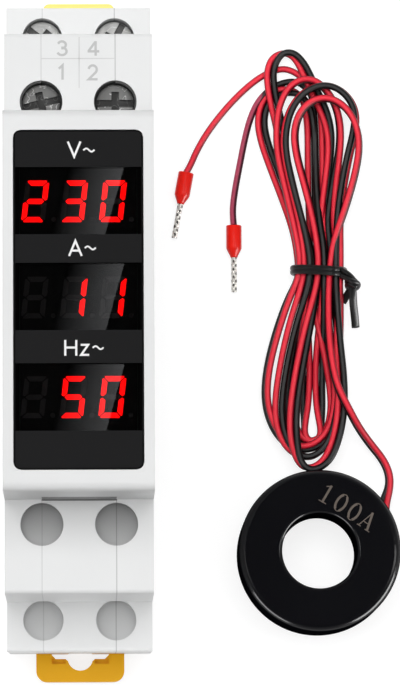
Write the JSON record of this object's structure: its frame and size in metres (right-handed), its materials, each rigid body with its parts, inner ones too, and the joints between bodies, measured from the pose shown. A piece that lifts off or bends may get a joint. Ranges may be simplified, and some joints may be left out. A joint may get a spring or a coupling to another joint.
{
  "type": "din rail ammeter",
  "caption": "One-module DIN rail volt, ampere and hertz meter with sliding rail clips, screw terminals and a ring current transformer on a tied two-wire cable.",
  "frame": {"origin": "middle of the face that seats on the DIN rail", "axes": "+Y towards the end with terminals 1 to 4, +Z out of the front, +X along the rail; the part lies on its back"},
  "size_m": [0.0499, 0.0878, 0.066],
  "materials": {
    "case_grey": "light grey moulded, fine spark texture",
    "bezel_grey": "light grey moulded, fine spark texture",
    "clip_yellow": "yellow moulded, satin",
    "smoked_pane": "smoked clear plastic, polished",
    "front_film": "dark grey printed film",
    "mask_black": "black moulded",
    "segment_lit": "lit red segments",
    "segment_unlit": "unlit segments",
    "screw_steel": "zinc plated, slightly dull",
    "clamp_steel": "zinc plated",
    "contact_brass": "tinned brass",
    "board_green": "solder mask",
    "header_black": "black moulded",
    "capacitor_blue": "sleeve",
    "capacitor_red": "dipped case",
    "resistor_tan": "lacquer",
    "ring_black": "black moulded, polished",
    "copper": "enamelled copper",
    "core_steel": "wound strip",
    "wire_red": "soft insulation",
    "wire_black": "soft insulation",
    "tie_black": "coated tie",
    "ferrule_red": "moulded collar",
    "pin_tin": "tinned copper"
  },
  "bodies": {
    "meter": {"amp_display": "mask_black", "amp_lit_segments": "segment_lit", "amp_unlit_segments": "segment_unlit", "black_ferrule_collar": "ferrule_red", "black_ferrule_pin": "pin_tin", "black_wire_hank": "wire_black", "black_wire_lead": "wire_black", "black_wire_tail": "wire_black", "board_header": "header_black", "burden_resistor": "resistor_tan", "case_rivets": "screw_steel", "centre_frame": "case_grey", "controller_chip": "header_black", "ct_case": "ring_black", "ct_core": "core_steel", "ct_cover": "ring_black", "ct_winding": "copper", "display_board": "board_green", "display_pane": "smoked_pane", "dropper_capacitor": "capacitor_red", "front_bezel": "bezel_grey", "front_film": "front_film", "hank_tie": "tie_black", "hertz_display": "mask_black", "hertz_lit_segments": "segment_lit", "hertz_unlit_segments": "segment_unlit", "left_shell": "case_grey", "light_mask": "mask_black", "main_board": "board_green", "metering_chip": "header_black", "red_ferrule_collar": "ferrule_red", "red_ferrule_pin": "pin_tin", "red_wire_hank": "wire_red", "red_wire_lead": "wire_red", "red_wire_tail": "wire_red", "right_shell": "case_grey", "smoothing_capacitor": "capacitor_blue", "terminal_contact_1": "contact_brass", "terminal_contact_2": "contact_brass", "terminal_contact_3": "contact_brass", "terminal_contact_4": "contact_brass", "varistor": "capacitor_blue", "volt_display": "mask_black", "volt_lit_segments": "segment_lit", "volt_unlit_segments": "segment_unlit"},
    "lower_clip": {"lower_clip": "clip_yellow"},
    "upper_clip": {"upper_clip": "clip_yellow"},
    "terminal_screw_1": {"terminal_screw_1": "screw_steel"},
    "terminal_screw_2": {"terminal_screw_2": "screw_steel"},
    "terminal_screw_3": {"terminal_screw_3": "screw_steel"},
    "terminal_screw_4": {"terminal_screw_4": "screw_steel"},
    "terminal_clamp_1": {"terminal_clamp_1": "clamp_steel"},
    "terminal_clamp_2": {"terminal_clamp_2": "clamp_steel"},
    "terminal_clamp_3": {"terminal_clamp_3": "clamp_steel"},
    "terminal_clamp_4": {"terminal_clamp_4": "clamp_steel"}
  },
  "joints": [
    {"name": "lower_clip_slide", "type": "slide", "parent": "meter", "child": "lower_clip", "axis": [0, -1, 0], "range_m": [0, 0.0025]},
    {"name": "upper_clip_slide", "type": "slide", "parent": "meter", "child": "upper_clip", "axis": [0, 1, 0], "range_m": [0, 0.0025]},
    {"name": "terminal_screw_1_turn", "type": "hinge", "parent": "meter", "child": "terminal_screw_1", "pos_m": [-0.0045, 0.0257, 0.0434], "axis": [0, 0, -1], "range_deg": [0, 1920]},
    {"name": "terminal_clamp_1_rise", "type": "slide", "parent": "meter", "child": "terminal_clamp_1", "axis": [0, 0, 1], "range_m": [0, 0.0024]},
    {"name": "terminal_screw_2_turn", "type": "hinge", "parent": "meter", "child": "terminal_screw_2", "pos_m": [0.0045, 0.0257, 0.0434], "axis": [0, 0, -1], "range_deg": [0, 1920]},
    {"name": "terminal_clamp_2_rise", "type": "slide", "parent": "meter", "child": "terminal_clamp_2", "axis": [0, 0, 1], "range_m": [0, 0.0024]},
    {"name": "terminal_screw_3_turn", "type": "hinge", "parent": "meter", "child": "terminal_screw_3", "pos_m": [-0.0045, 0.03635, 0.0239], "axis": [0, 0, -1], "range_deg": [0, 1920]},
    {"name": "terminal_clamp_3_rise", "type": "slide", "parent": "meter", "child": "terminal_clamp_3", "axis": [0, 0, 1], "range_m": [0, 0.0024]},
    {"name": "terminal_screw_4_turn", "type": "hinge", "parent": "meter", "child": "terminal_screw_4", "pos_m": [0.0045, 0.03635, 0.0239], "axis": [0, 0, -1], "range_deg": [0, 1920]},
    {"name": "terminal_clamp_4_rise", "type": "slide", "parent": "meter", "child": "terminal_clamp_4", "axis": [0, 0, 1], "range_m": [0, 0.0024]}
  ],
  "couplings": [
    {"joint": "terminal_screw_1_turn", "follows": "terminal_clamp_1_rise", "rad_per_m": 13962},
    {"joint": "terminal_screw_2_turn", "follows": "terminal_clamp_2_rise", "rad_per_m": 13962},
    {"joint": "terminal_screw_3_turn", "follows": "terminal_clamp_3_rise", "rad_per_m": 13962},
    {"joint": "terminal_screw_4_turn", "follows": "terminal_clamp_4_rise", "rad_per_m": 13962}
  ]
}
